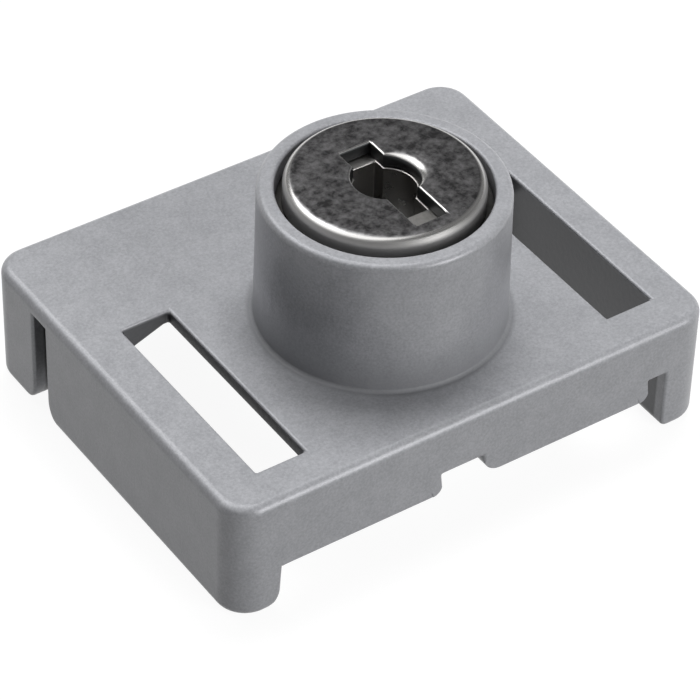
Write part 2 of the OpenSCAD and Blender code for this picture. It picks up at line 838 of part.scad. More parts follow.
// Four pan-head screws into the posts
module guide_screws() {
  color("#c3c5c8")
    at_posts() translate([0, 0, screw_foot])
      difference() {
        union() {
          cylinder(h = 0.3, r1 = screw_head_r - 0.3, r2 = screw_head_r);
          translate([0, 0, 0.3]) cylinder(h = screw_head_h - 0.3, r = screw_head_r);
          cylinder(h = screw_head_h + guide_t + post_h - 1.2, r = screw_r);
        }
        for (a = [0, 90])
          rotate(a) translate([-screw_head_r * 0.55, -recess_w / 2, -over])
            cube([screw_head_r * 1.1, recess_w, over + 0.6]);
      }
}

housing();
anvil_pad();
lock_barrel();
drill_pins();
face_cap();
barrel_seal();
barrel_clip();
stop_pin();
key_core();
core_seal();
shutter();
shutter_spring();
crank();
drive_dowels();
thrust_washer();
core_circlip();
jaw_slide();
jaw_pad();
pad_rivets();
guide_plate();
guide_screws();
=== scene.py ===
import math
import bmesh
import bpy
from mathutils import Matrix, Vector


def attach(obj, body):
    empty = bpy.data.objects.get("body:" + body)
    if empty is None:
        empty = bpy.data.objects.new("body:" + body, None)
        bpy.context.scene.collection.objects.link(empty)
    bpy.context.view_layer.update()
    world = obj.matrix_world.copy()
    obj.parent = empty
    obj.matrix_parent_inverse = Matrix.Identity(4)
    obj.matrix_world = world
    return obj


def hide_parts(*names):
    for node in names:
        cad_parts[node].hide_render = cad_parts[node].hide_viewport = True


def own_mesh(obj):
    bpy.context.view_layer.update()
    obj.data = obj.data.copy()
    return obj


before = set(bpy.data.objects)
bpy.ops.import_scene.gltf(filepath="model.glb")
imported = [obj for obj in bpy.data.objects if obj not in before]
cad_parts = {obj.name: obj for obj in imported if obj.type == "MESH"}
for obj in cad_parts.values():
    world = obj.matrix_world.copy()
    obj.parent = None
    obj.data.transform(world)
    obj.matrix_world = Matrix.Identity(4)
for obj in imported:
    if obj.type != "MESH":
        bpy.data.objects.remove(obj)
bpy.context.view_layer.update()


# A long lens about 31 cm from the lock, looking down on its front left corner.
# Its place and angles come from the straight edges of the photographed body.
turn, tilt, roll = math.radians(-35.251), math.radians(41.004), math.radians(1.708)
look = Vector((-math.sin(turn) * math.cos(tilt), math.cos(turn) * math.cos(tilt), -math.sin(tilt)))
level = Vector((math.cos(turn), math.sin(turn), 0))
steep = level.cross(look)
across = level * math.cos(roll) + steep * math.sin(roll)
above = steep * math.cos(roll) - level * math.sin(roll)
focal_px, photo_px = 3604.5, 700
lens = bpy.data.cameras.new("studio_camera")
lens.sensor_width = 36
lens.lens = focal_px / photo_px * lens.sensor_width
lens.clip_start = 0.01
camera = bpy.data.objects.new("studio_camera", lens)
camera.matrix_world = Matrix.Translation((-0.13612, -0.19297, 0.20955)) @ Matrix(
    (across, above, -look)).transposed().to_4x4()
bpy.context.scene.collection.objects.link(camera)
bpy.context.scene.camera = camera


# Housing: zinc die casting with two solid end blocks, skirts and a round boss, tumbled to
# break its edges and then sprayed with silver enamel. The rail runs through its slots.
boss_x, boss_y = 0.4, -4.1


def linear(colour):
    """sRGB hex as linear red, green, blue and alpha"""
    parts = [int(colour[i:i + 2], 16) / 255 for i in (1, 3, 5)]
    return [c / 12.92 if c < 0.04045 else ((c + 0.055) / 1.055) ** 2.4 for c in parts] + [1]


def put(tree, kind, settings, values):
    """Adds a node. A value that is a socket is linked, and any other is set."""
    made = tree.nodes.new(kind)
    for name, value in settings.items():
        setattr(made, name, value)
    for name, value in values.items():
        if isinstance(value, bpy.types.NodeSocket):
            tree.links.new(value, made.inputs[name])
        else:
            made.inputs[name].default_value = value
    return made


def start_finish(name):
    """An empty material with its shader, and the surface's place in millimetres"""
    finish = bpy.data.materials.new(name)
    finish.use_nodes = True
    tree = finish.node_tree
    tree.nodes.clear()
    place = put(tree, "ShaderNodeTexCoord", {}, {})
    mm = put(tree, "ShaderNodeVectorMath", {"operation": "SCALE"},
             {0: place.outputs["Object"], "Scale": 1000.0})
    shader = put(tree, "ShaderNodeBsdfPrincipled", {}, {})
    put(tree, "ShaderNodeOutputMaterial", {}, {"Surface": shader.outputs[0]})
    return finish, tree, mm.outputs[0], shader


def link_up(tree, shader, metallic, colour, rough, relief=None):
    """Gives a finish's colour, roughness, bump and metallic share to its shader"""
    tree.links.new(colour, shader.inputs["Base Color"])
    tree.links.new(rough, shader.inputs["Roughness"])
    if relief:
        tree.links.new(relief, shader.inputs["Normal"])
    shader.inputs["Metallic"].default_value = metallic


def radius_from_boss(tree, mm):
    """How far the surface is from the boss's upright axis, in millimetres"""
    centred = put(tree, "ShaderNodeVectorMath", {"operation": "SUBTRACT"},
                  {0: mm, 1: (boss_x, boss_y, 0.0)})
    flat_way = put(tree, "ShaderNodeVectorMath", {"operation": "MULTIPLY"},
                   {0: centred.outputs[0], 1: (1.0, 1.0, 0.0)})
    away = put(tree, "ShaderNodeVectorMath", {"operation": "LENGTH"}, {0: flat_way.outputs[0]})
    return away.outputs[1]


def dress(finish, *nodes):
    """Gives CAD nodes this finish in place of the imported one"""
    for name in nodes:
        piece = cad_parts[name]
        for slot in piece.material_slots:
            slot.material = finish


# Silver spray enamel: satin and pale, with the fine grain of its aluminium flakes and the
# slight orange peel that sprayed paint dries to. The flakes are drawn about 0.2 mm wide,
# coarser than real ones, because real ones don't show at this size. Inside the slots and
# under the plate the colour is painted dark as shade. The paint dried dull in the corner
# round the boss's foot, and that corner is also painted a little darker as shade.
silver_enamel, tree, mm, shader = start_finish("silver_enamel")
flakes = put(tree, "ShaderNodeTexNoise", {},
             {"Vector": mm, "Scale": 4.5, "Detail": 3.0, "Roughness": 0.7})
clouds = put(tree, "ShaderNodeTexNoise", {}, {"Vector": mm, "Scale": 0.45, "Detail": 3.0})
shade = put(tree, "ShaderNodeMath", {"operation": "MULTIPLY_ADD"},
            {0: clouds.outputs[0], 1: 0.35, 2: flakes.outputs[0]})
tone = put(tree, "ShaderNodeMapRange", {}, {
    "Value": shade.outputs[0], "From Min": 0.5, "From Max": 0.86, "To Min": 0.0, "To Max": 1.0})
coat = put(tree, "ShaderNodeMix", {"data_type": "RGBA"},
           {0: tone.outputs[0], 6: linear("#9C9DA1"), 7: linear("#B3B4B8")})
spot = put(tree, "ShaderNodeVectorMath", {"operation": "ABSOLUTE"}, {0: mm})
inward = put(tree, "ShaderNodeSeparateXYZ", {}, {0: spot.outputs[0]})
# Painted shade: inside the slots and under the plate the colour turns dark grey.
inside_painted_shade = 1.0
for axis, reach, over in ((0, 23.2, 23.0), (1, 18.5, 18.3), (2, 11.8, 11.5)):
    part = put(tree, "ShaderNodeMapRange", {}, {
        "Value": inward.outputs[axis], "From Min": reach, "From Max": over,
        "To Min": 0.0, "To Max": 1.0})
    both = put(tree, "ShaderNodeMath", {"operation": "MULTIPLY"}, {0: part.outputs[0], 1: inside_painted_shade})
    inside_painted_shade = both.outputs[0]
coat_with_inside_shade = put(tree, "ShaderNodeMix", {"data_type": "RGBA"},
              {0: inside_painted_shade, 6: coat.outputs[2], 7: linear("#515255")})
# Painted shade round the boss's foot, fading upwards; the same mask also makes the paint duller
# there.
near_boss = put(tree, "ShaderNodeMapRange", {}, {
    "Value": radius_from_boss(tree, mm), "From Min": 11.6, "From Max": 11.2,
    "To Min": 0.0, "To Max": 1.0})
low_down = put(tree, "ShaderNodeMapRange", {}, {
    "Value": inward.outputs[2], "From Min": 16.0, "From Max": 12.2, "To Min": 0.0, "To Max": 0.7})
foot_shade_and_dullness = put(tree, "ShaderNodeMath", {"operation": "MULTIPLY"},
             {0: near_boss.outputs[0], 1: low_down.outputs[0]})
colour = put(tree, "ShaderNodeMix", {"data_type": "RGBA"},
             {0: foot_shade_and_dullness.outputs[0], 6: coat_with_inside_shade.outputs[2], 7: linear("#88898C")})
satin = put(tree, "ShaderNodeMapRange", {}, {
    "Value": flakes.outputs[0], "From Min": 0.3, "From Max": 0.7, "To Min": 0.32, "To Max": 0.42})
sheen = put(tree, "ShaderNodeMath", {"operation": "MULTIPLY_ADD"},
            {0: foot_shade_and_dullness.outputs[0], 1: 0.4, 2: satin.outputs[0]})
peel = put(tree, "ShaderNodeTexNoise", {}, {"Vector": mm, "Scale": 1.8, "Detail": 3.0})
relief = put(tree, "ShaderNodeBump", {},
             {"Height": peel.outputs[0], "Strength": 0.35, "Distance": 0.00006})
link_up(tree, shader, 0.15, colour.outputs[2], sheen.outputs[0], relief.outputs[0])


def soften(node, width, steps, body, finish, chosen):
    """Replaces a CAD node by a copy whose chosen sharp edges are rolled off, in millimetres"""
    weld, flat, sharp, hard = 0.000002, math.radians(0.5), math.radians(30), math.radians(35)
    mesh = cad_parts[node].data.copy()
    mesh.name = node + "_worn"
    drawn = mesh.attributes.get("custom_normal")
    if drawn:
        mesh.attributes.remove(drawn)
    shape = bmesh.new()
    shape.from_mesh(mesh)
    bmesh.ops.remove_doubles(shape, verts=shape.verts, dist=weld)
    bmesh.ops.dissolve_limit(shape, angle_limit=flat, verts=shape.verts, edges=shape.edges)
    edges = [edge for edge in shape.edges if edge.calc_face_angle(0) > sharp
             and chosen(*((edge.verts[0].co + edge.verts[1].co) / 2 * 1000))]
    bmesh.ops.bevel(shape, geom=edges, offset=width / 1000, segments=steps, profile=0.5,
                    affect="EDGES", clamp_overlap=False)
    for face in shape.faces:
        face.smooth = True
    shape.to_mesh(mesh)
    shape.free()
    mesh.set_sharp_from_angle(angle=hard)
    mesh.materials.clear()
    mesh.materials.append(finish)
    piece = bpy.data.objects.new(node + "_worn", mesh)
    bpy.context.scene.collection.objects.link(piece)
    piece.modifiers.new("even_shading", "WEIGHTED_NORMAL").keep_sharp = True
    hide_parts(node)
    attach(piece, body)


def sharp_in_the_casting(x, y, z):
    """Leaves out the boss, whose edges are already round, and the shallow step on the tabs"""
    plate_z, foot_r = 11.95, 12
    below_plate = z < plate_z - 0.65
    on_plate = z < plate_z and math.hypot(x - boss_x, y - boss_y) > foot_r
    on_tab_step = y < -19.1 and 4.3 < z < 5.9
    return (below_plate or on_plate) and not on_tab_step


soften("housing", 0.3, 3, "lock_body", silver_enamel, sharp_in_the_casting)

# The recess along the tabs is drawn shallower than in the CAD, so that its ends leave no nicks.
cad_floor, drawn_floor = -0.01925, -0.01946
for point in bpy.data.meshes["housing_worn"].vertices:
    if abs(point.co.y - cad_floor) < 0.00002 and 0.0044 < point.co.z < 0.0058:
        point.co.y = drawn_floor


# Barrel: turned brass, nickel plated, with a head that rests on a rubber ring in the boss.
# A horseshoe clip holds it from below, and four hardened pins in its face stop a drill.
def lathe_rings(tree, mm):
    """A turned piece's rings round the boss's axis"""
    centred = put(tree, "ShaderNodeVectorMath", {"operation": "SUBTRACT"},
                  {0: mm, 1: (boss_x, boss_y, 0.0)})
    return put(tree, "ShaderNodeTexWave", {"wave_type": "RINGS", "rings_direction": "Z"}, {
        "Vector": centred.outputs[0], "Scale": 1.6, "Distortion": 1.0,
        "Detail": 2.0, "Detail Scale": 2.0})


# Nickel plate: a slightly warm grey over the fine rings of the lathe tool, 0.2 mm apart. What
# faces up is cloudy, the bores' walls are darker, and the gap round the cap is painted dark as
# shade.
nickel_plate, tree, mm, shader = start_finish("nickel_plate")
rings = lathe_rings(tree, mm)
haze = put(tree, "ShaderNodeTexNoise", {},
           {"Vector": mm, "Scale": 0.8, "Detail": 4.0, "Roughness": 0.6})
tarnish = put(tree, "ShaderNodeMapRange", {}, {
    "Value": haze.outputs[0], "From Min": 0.35, "From Max": 0.7, "To Min": 0.0, "To Max": 1.0})
facing = put(tree, "ShaderNodeNewGeometry", {}, {})
upward = put(tree, "ShaderNodeSeparateXYZ", {}, {0: facing.outputs["Normal"]})
touched = put(tree, "ShaderNodeMapRange", {}, {
    "Value": upward.outputs[2], "From Min": 0.1, "From Max": 0.5, "To Min": 0.0, "To Max": 1.0})
tops = put(tree, "ShaderNodeMix", {"data_type": "RGBA"},
           {0: tarnish.outputs[0], 6: linear("#CCCAC7"), 7: linear("#A3A19E")})
plated = put(tree, "ShaderNodeMix", {"data_type": "RGBA"},
             {0: touched.outputs[0], 6: linear("#B3B1AE"), 7: tops.outputs[2]})
# Painted shade: the plate turns near black in the gap round the cap.
gap_painted_shade = put(tree, "ShaderNodeMapRange", {}, {
    "Value": radius_from_boss(tree, mm), "From Min": 8.0, "From Max": 8.3,
    "To Min": 0.0, "To Max": 0.85})
colour = put(tree, "ShaderNodeMix", {"data_type": "RGBA"},
             {0: gap_painted_shade.outputs[0], 6: plated.outputs[2], 7: linear("#2C2B2A")})
rough = put(tree, "ShaderNodeMapRange", {}, {
    "Value": haze.outputs[0], "From Min": 0.3, "From Max": 0.7, "To Min": 0.24, "To Max": 0.42})
grooves = put(tree, "ShaderNodeMath", {"operation": "MULTIPLY"},
              {0: rings.outputs[1], 1: touched.outputs[0]})
relief = put(tree, "ShaderNodeBump", {},
             {"Height": grooves.outputs[0], "Strength": 0.2, "Distance": 0.00002})
link_up(tree, shader, 1.0, colour.outputs[2], rough.outputs[0], relief.outputs[0])
dress(nickel_plate, "lock_barrel")

# Nitrile rubber: near black and dull, with a faint grey bloom and the grain of its mould.
nitrile_rubber, tree, mm, shader = start_finish("nitrile_rubber")
bloom = put(tree, "ShaderNodeTexNoise", {},
            {"Vector": mm, "Scale": 0.7, "Detail": 4.0, "Roughness": 0.6})
dust = put(tree, "ShaderNodeMapRange", {}, {
    "Value": bloom.outputs[0], "From Min": 0.4, "From Max": 0.7, "To Min": 0.0, "To Max": 1.0})
colour = put(tree, "ShaderNodeMix", {"data_type": "RGBA"},
             {0: dust.outputs[0], 6: linear("#1E1E1F"), 7: linear("#303031")})
rough = put(tree, "ShaderNodeMapRange", {}, {
    "Value": bloom.outputs[0], "From Min": 0.3, "From Max": 0.7, "To Min": 0.6, "To Max": 0.85})
pores = put(tree, "ShaderNodeTexNoise", {}, {"Vector": mm, "Scale": 6.0, "Detail": 2.0})
relief = put(tree, "ShaderNodeBump", {},
             {"Height": pores.outputs[0], "Strength": 0.5, "Distance": 0.00005})
link_up(tree, shader, 0.0, colour.outputs[2], rough.outputs[0], relief.outputs[0])
dress(nitrile_rubber, "barrel_seal", "core_seal")

# Hardened steel, centreless ground: mid grey and fairly bright, with fine grinding marks
# round each pin and a little oil film.
ground_steel, tree, mm, shader = start_finish("ground_steel")
film = put(tree, "ShaderNodeTexNoise", {}, {"Vector": mm, "Scale": 1.2, "Detail": 3.0})
lines = put(tree, "ShaderNodeTexWave", {"bands_direction": "Z"}, {
    "Vector": mm, "Scale": 1.6, "Distortion": 2.0, "Detail": 2.0})
colour = put(tree, "ShaderNodeMix", {"data_type": "RGBA"},
             {0: film.outputs[0], 6: linear("#8B8C8E"), 7: linear("#A5A6A8")})
rough = put(tree, "ShaderNodeMapRange", {}, {
    "Value": film.outputs[0], "From Min": 0.3, "From Max": 0.7, "To Min": 0.2, "To Max": 0.34})
relief = put(tree, "ShaderNodeBump", {},
             {"Height": lines.outputs[1], "Strength": 0.2, "Distance": 0.00001})
link_up(tree, shader, 1.0, colour.outputs[2], rough.outputs[0], relief.outputs[0])
dress(ground_steel, "drill_pins", "stop_pin", "drive_dowels", "shutter")

# Zinc plate on steel, clear passivated: pale bluish grey and satin, with cloudy patches
# where the bath left it thicker, and faint lines along the sheet's rolling direction.
zinc_plate, tree, mm, shader = start_finish("zinc_plate")
patches = put(tree, "ShaderNodeTexNoise", {},
              {"Vector": mm, "Scale": 0.45, "Detail": 5.0, "Roughness": 0.6})
drawn = put(tree, "ShaderNodeVectorMath", {"operation": "MULTIPLY"}, {0: mm, 1: (0.25, 5.0, 2.0)})
lines = put(tree, "ShaderNodeTexNoise", {},
            {"Vector": drawn.outputs[0], "Scale": 1.0, "Detail": 2.0})
cloudy = put(tree, "ShaderNodeMapRange", {}, {
    "Value": patches.outputs[0], "From Min": 0.35, "From Max": 0.68, "To Min": 0.0, "To Max": 1.0})
colour = put(tree, "ShaderNodeMix", {"data_type": "RGBA"},
             {0: cloudy.outputs[0], 6: linear("#A2A6AB"), 7: linear("#BDBEBE")})
grit = put(tree, "ShaderNodeMath", {"operation": "MULTIPLY_ADD"},
           {0: lines.outputs[0], 1: 0.5, 2: patches.outputs[0]})
rough = put(tree, "ShaderNodeMapRange", {}, {
    "Value": grit.outputs[0], "From Min": 0.5, "From Max": 1.0, "To Min": 0.3, "To Max": 0.48})
relief = put(tree, "ShaderNodeBump", {},
             {"Height": lines.outputs[0], "Strength": 0.3, "Distance": 0.00002})
link_up(tree, shader, 1.0, colour.outputs[2], rough.outputs[0], relief.outputs[0])
dress(zinc_plate, "barrel_clip")


# Face cap: pressed steel with a keyhole punched from above, crimped over the barrel's spigot.
# The punch rolled the keyhole's edges in, most of all round the hole for the key's shank.

# Nickelled steel, stained: the face mirrors little, is mottled in grains of about 1 mm and
# has fine scratches, and its dark grey is partly stain and partly a painted dark reflection.
# The rounded edges are rubbed bright, the outer side is dull, and the keyhole's walls are
# painted dark as shade.
stain_reflection_and_shade_steel, tree, mm, shader = start_finish("stain_reflection_and_shade_steel")
blots = put(tree, "ShaderNodeTexNoise", {},
            {"Vector": mm, "Scale": 1.1, "Detail": 5.0, "Roughness": 0.7})
mottle = put(tree, "ShaderNodeMapRange", {}, {
    "Value": blots.outputs[0], "From Min": 0.38, "From Max": 0.66, "To Min": 0.0, "To Max": 1.0})
# The face's mottled stain, painted dark overall as a painted reflection of a dim room.
stain_and_painted_reflection = put(tree, "ShaderNodeMix", {"data_type": "RGBA"},
            {0: mottle.outputs[0], 6: linear("#4B4A4B"), 7: linear("#989798")})
turned = put(tree, "ShaderNodeVectorRotate", {"rotation_type": "Z_AXIS"},
             {"Vector": mm, "Angle": math.radians(66)})
drawn = put(tree, "ShaderNodeVectorMath", {"operation": "MULTIPLY"},
            {0: turned.outputs[0], 1: (0.4, 2.6, 1.0)})
lines = put(tree, "ShaderNodeTexNoise", {},
            {"Vector": drawn.outputs[0], "Scale": 1.0, "Detail": 3.0, "Roughness": 0.6})
scratched = put(tree, "ShaderNodeMapRange", {}, {
    "Value": lines.outputs[0], "From Min": 0.56, "From Max": 0.78, "To Min": 0.0, "To Max": 0.6})
face_colour = put(tree, "ShaderNodeMix", {"data_type": "RGBA"},
                  {0: scratched.outputs[0], 6: stain_and_painted_reflection.outputs[2], 7: linear("#858687")})
facing = put(tree, "ShaderNodeNewGeometry", {}, {})
upward = put(tree, "ShaderNodeSeparateXYZ", {}, {0: facing.outputs["Normal"]})
flat = put(tree, "ShaderNodeMapRange", {}, {
    "Value": upward.outputs[2], "From Min": 0.9, "From Max": 0.97, "To Min": 0.0, "To Max": 1.0})
rubbed = put(tree, "ShaderNodeMapRange", {}, {
    "Value": upward.outputs[2], "From Min": 0.62, "From Max": 0.8, "To Min": 0.0, "To Max": 1.0})
# Painted shade: the keyhole's walls are dark grey, and the cap's outer side is lighter.
outer = put(tree, "ShaderNodeMapRange", {}, {
    "Value": radius_from_boss(tree, mm), "From Min": 7.0, "From Max": 7.4,
    "To Min": 0.0, "To Max": 1.0})
sides_and_keyhole_shade = put(tree, "ShaderNodeMix", {"data_type": "RGBA"},
                  {0: outer.outputs[0], 6: linear("#48494A"), 7: linear("#9A9998")})
edge_colour = put(tree, "ShaderNodeMix", {"data_type": "RGBA"},
                  {0: rubbed.outputs[0], 6: sides_and_keyhole_shade.outputs[2], 7: linear("#D2D1CF")})
colour = put(tree, "ShaderNodeMix", {"data_type": "RGBA"},
             {0: flat.outputs[0], 6: edge_colour.outputs[2], 7: face_colour.outputs[2]})
edge_rough = put(tree, "ShaderNodeMapRange", {}, {
    "Value": rubbed.outputs[0], "From Min": 0.0, "From Max": 1.0, "To Min": 0.5, "To Max": 0.22})
rough = put(tree, "ShaderNodeMath", {"operation": "MULTIPLY_ADD"},
            {0: flat.outputs[0], 1: 0.12, 2: edge_rough.outputs[0]})
relief = put(tree, "ShaderNodeBump", {},
             {"Height": blots.outputs[0], "Strength": 0.2, "Distance": 0.00004})
link_up(tree, shader, 1.0, colour.outputs[2], rough.outputs[0], relief.outputs[0])


def loft(name, loops, closed, body, finish):
    """Joins loops of equally many points in millimetres, in a ring or with a face at each end"""
    count = len(loops[0])
    points = [[c / 1000 for c in point] for loop in loops for point in loop]
    faces = []
    for i in range(len(loops) if closed else len(loops) - 1):
        near, far = i * count, (i + 1) % len(loops) * count
        for k in range(count):
            after = (k + 1) % count
            faces.append((near + k, near + after, far + after, far + k))
    if not closed:
        faces += [tuple(reversed(range(count))), tuple(range(len(points) - count, len(points)))]
    mesh = bpy.data.meshes.new(name)
    mesh.from_pydata(points, [], faces)
    shape = bmesh.new()
    shape.from_mesh(mesh)
    bmesh.ops.recalc_face_normals(shape, faces=shape.faces)
    for face in shape.faces:
        face.smooth = True
    shape.to_mesh(mesh)
    shape.free()
    mesh.set_sharp_from_angle(angle=math.radians(40))
    mesh.materials.append(finish)
    piece = bpy.data.objects.new(name, mesh)
    bpy.context.scene.collection.objects.link(piece)
    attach(piece, body)
    return piece


hole_r, wing_half_w, wing_back, wing_front = 2.9, 1.5, 4.5, 6.6
cap_r, cap_z, cap_under, cap_foot, face_end, edge_r = 8.5, 26, 24.8, 23.5, 7.6, 0.9
meeting = math.sqrt(hole_r ** 2 - wing_half_w ** 2)
corners = [(sx * wing_half_w, y) for sx in (-1, 1)
           for y in (wing_back, -wing_front, meeting, -meeting)]
turns = sorted([math.radians(1.25 * i - 180) for i in range(288)]
               + [math.atan2(y, x) for x, y in corners])


def keyhole_reach(turn):
    """How far the keyhole's edge is from its centre"""
    x, y = abs(math.cos(turn)), math.sin(turn)
    end = wing_back if y > 0 else wing_front
    return max(hole_r, min(wing_half_w / max(x, 1e-9), end / max(abs(y), 1e-9)))


def rolled(distance, radius):
    """How deep a rolled edge has sunk at this distance from the edge"""
    left = max(0.0, radius - max(distance, 0.0))
    return radius - math.sqrt(radius ** 2 - left ** 2)


def cap_face(turn, reach):
    """A point of the cap's face, sunk where the punch rolled the keyhole's edges in"""
    x, y = reach * math.cos(turn), reach * math.sin(turn)
    past_side = abs(x) - wing_half_w
    past_end = max(y - wing_back, -wing_front - y)
    from_wing = math.hypot(max(past_side, 0), max(past_end, 0)) + min(max(past_side, past_end), 0)
    hole_roll = 0.25 + 1.8 * max(0, math.cos(turn) - 0.5)
    sunk = max(0.7 * rolled(reach - hole_r, hole_roll), rolled(from_wing, 0.24))
    return x + boss_x, y + boss_y, cap_z - sunk


def cap_ring(reach, z):
    """A round loop of the cap"""
    return [(reach * math.cos(t) + boss_x, reach * math.sin(t) + boss_y, z) for t in turns]


def hole_wall(share):
    """A loop of the keyhole's wall, at this share of its height"""
    loop = []
    for t in turns:
        x, y, top = cap_face(t, keyhole_reach(t))
        loop.append((x, y, cap_under + share * (top - cap_under)))
    return loop


roll_end = 0.8
cap_loops = []
for step in (0, 0.01, 0.03, 0.06, 0.1, 0.15, 0.21, 0.28, 0.36, 0.45, 0.55, 0.66, roll_end):
    cap_loops.append([cap_face(t, keyhole_reach(t) + step) for t in turns])
for share in (0.25, 0.5, 0.75, 1):
    cap_loops.append([cap_face(t, (keyhole_reach(t) + roll_end) * (1 - share) + face_end * share)
                      for t in turns])
cap_loops += [cap_ring(face_end + edge_r * math.sin(a), cap_z - edge_r + edge_r * math.cos(a))
              for a in [math.radians(7.5 * i) for i in range(1, 13)]]
cap_loops += [cap_ring(cap_r, cap_foot + 0.8), cap_ring(cap_r, cap_foot + 0.1),
              cap_ring(cap_r - 0.1, cap_foot), cap_ring(cap_r - 0.55, cap_foot),
              cap_ring(cap_r - 0.6, cap_foot + 0.1), cap_ring(cap_r - 0.6, cap_under)]
cap_loops += [hole_wall(share) for share in (0, 0.4, 0.8)]
cap = loft("cap_pressing", cap_loops, True, "lock_body", stain_reflection_and_shade_steel)
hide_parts("face_cap")


# Key core: nickel-plated brass like the barrel, with a slot milled across its top for the
# key's bits. Keys have worn the slot's edges.
def at_the_keyway(x, y, z):
    """Picks the edges that a key rubs"""
    return z > 17 and math.hypot(x - boss_x, y - boss_y) < 5.6


soften("key_core", 0.15, 2, "core", nickel_plate, at_the_keyway)


# Key core's foot: a steel crank under the core, driven by two dowels, with a brass washer
# and a circlip below it, and the sprung shutter that closes the keyhole's shank bore.
dress(zinc_plate, "crank", "core_circlip")

# Turned brass: warm yellow with the lathe's rings, 0.2 mm apart.
turned_brass, tree, mm, shader = start_finish("turned_brass")
rings = lathe_rings(tree, mm)
haze = put(tree, "ShaderNodeTexNoise", {}, {"Vector": mm, "Scale": 0.8, "Detail": 4.0})
colour = put(tree, "ShaderNodeMix", {"data_type": "RGBA"},
             {0: haze.outputs[0], 6: linear("#C7A45E"), 7: linear("#A98748")})
rough = put(tree, "ShaderNodeMapRange", {}, {
    "Value": haze.outputs[0], "From Min": 0.3, "From Max": 0.7, "To Min": 0.24, "To Max": 0.4})
relief = put(tree, "ShaderNodeBump", {},
             {"Height": rings.outputs[1], "Strength": 0.3, "Distance": 0.00002})
link_up(tree, shader, 1.0, colour.outputs[2], rough.outputs[0], relief.outputs[0])
dress(turned_brass, "thrust_washer")

# Spring wire: drawn and oiled, darker than the pins, with fine die lines along the wire.
spring_wire, tree, mm, shader = start_finish("spring_wire")
film = put(tree, "ShaderNodeTexNoise", {}, {"Vector": mm, "Scale": 2.0, "Detail": 3.0})
colour = put(tree, "ShaderNodeMix", {"data_type": "RGBA"},
             {0: film.outputs[0], 6: linear("#77787A"), 7: linear("#939496")})
rough = put(tree, "ShaderNodeMapRange", {}, {
    "Value": film.outputs[0], "From Min": 0.3, "From Max": 0.7, "To Min": 0.25, "To Max": 0.4})
link_up(tree, shader, 1.0, colour.outputs[2], rough.outputs[0])


coils, coil_r, wire_r, spring_foot, spring_rise = 5, 2.5, 0.25, 11.92, 5.43


def wire_loop(share):
    """The wire's section at this share of the spring's coils"""
    a = 2 * math.pi * coils * share
    middle_z = spring_foot + wire_r + spring_rise * share
    return [(boss_x + (coil_r + wire_r * math.cos(b)) * math.cos(a),
             boss_y + (coil_r + wire_r * math.cos(b)) * math.sin(a),
             middle_z + wire_r * math.sin(b)) for b in [math.radians(36 * k) for k in range(10)]]


spring_loops = [wire_loop(i / 120) for i in range(121)]
spring = loft("wound_spring", spring_loops, False, "core", spring_wire)
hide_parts("shutter_spring")
# With the shutter pressed 2.5 mm down, 58 % of the spring's height is left.
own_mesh(spring)


# Jaw: a zinc-plated steel slide with an upright lip, and a rubber pad that two aluminium
# rivets hold on it. It grips the rail against the rubber strip on the housing's rib.
dress(zinc_plate, "jaw_slide")
dress(nitrile_rubber, "jaw_pad", "anvil_pad")

# Aluminium: pale and soft looking, with scratches from setting the rivets.
soft_aluminium, tree, mm, shader = start_finish("soft_aluminium")
scuffs = put(tree, "ShaderNodeTexNoise", {},
             {"Vector": mm, "Scale": 3.0, "Detail": 4.0, "Roughness": 0.7})
colour = put(tree, "ShaderNodeMix", {"data_type": "RGBA"},
             {0: scuffs.outputs[0], 6: linear("#C5C7C9"), 7: linear("#AEB0B2")})
rough = put(tree, "ShaderNodeMapRange", {}, {
    "Value": scuffs.outputs[0], "From Min": 0.3, "From Max": 0.7, "To Min": 0.3, "To Max": 0.5})
relief = put(tree, "ShaderNodeBump", {},
             {"Height": scuffs.outputs[0], "Strength": 0.3, "Distance": 0.00003})
link_up(tree, shader, 1.0, colour.outputs[2], rough.outputs[0], relief.outputs[0])
dress(soft_aluminium, "pad_rivets")


# Guide plate: sheet steel on four posts under the housing, blanked in a press, so its upper
# edges are slightly round. The jaw slides on top of it.
soften("guide_plate", 0.15, 2, "lock_body", zinc_plate, lambda x, y, z: True)


# Guide screws: four M2 pan heads with cold-formed cross recesses, zinc plated, driven up
# into the posts. A screw's head is drawn from its recess outwards and then along its shank.
screw_turns = [math.radians(5 * i) for i in range(72)]


def recess_reach(turn, size):
    """How far the cross recess goes from the screw's axis"""
    arm, half_w = 1.05, 0.25
    x, y = abs(math.cos(turn)), abs(math.sin(turn))
    along_x = min(arm / max(x, 1e-9), half_w / max(y, 1e-9))
    along_y = min(half_w / max(x, 1e-9), arm / max(y, 1e-9))
    return size * max(along_x, along_y)


def screw_loops(x, y):
    """The loops of the screw on this post: its recess, its domed head and its shank"""
    loops = []
    for size, z in ((0.35, 3.05), (0.6, 2.9), (1, 2.36), (1.08, 2.34)):
        loops.append([(x + recess_reach(t, size) * math.cos(t),
                       y + recess_reach(t, size) * math.sin(t), z) for t in screw_turns])
    for reach, z in ((1.25, 2.37), (1.45, 2.42), (1.62, 2.5), (1.75, 2.62), (1.84, 2.78), (1.9, 3),
                     (1.9, 3.48), (1.85, 3.5), (1, 3.5), (1, 9.2), (0.7, 9.5)):
        loops.append([(x + reach * math.cos(t), y + reach * math.sin(t), z) for t in screw_turns])
    return loops


post_x, post_y = 6.8, 9.2
for i, (sx, sy) in enumerate(((-1, -1), (1, -1), (-1, 1), (1, 1))):
    loops = screw_loops(boss_x + sx * post_x, boss_y + sy * post_y)
    screw = loft("guide_screw_%d" % (i + 1), loops, False, "lock_body", zinc_plate)
    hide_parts("guide_screws")


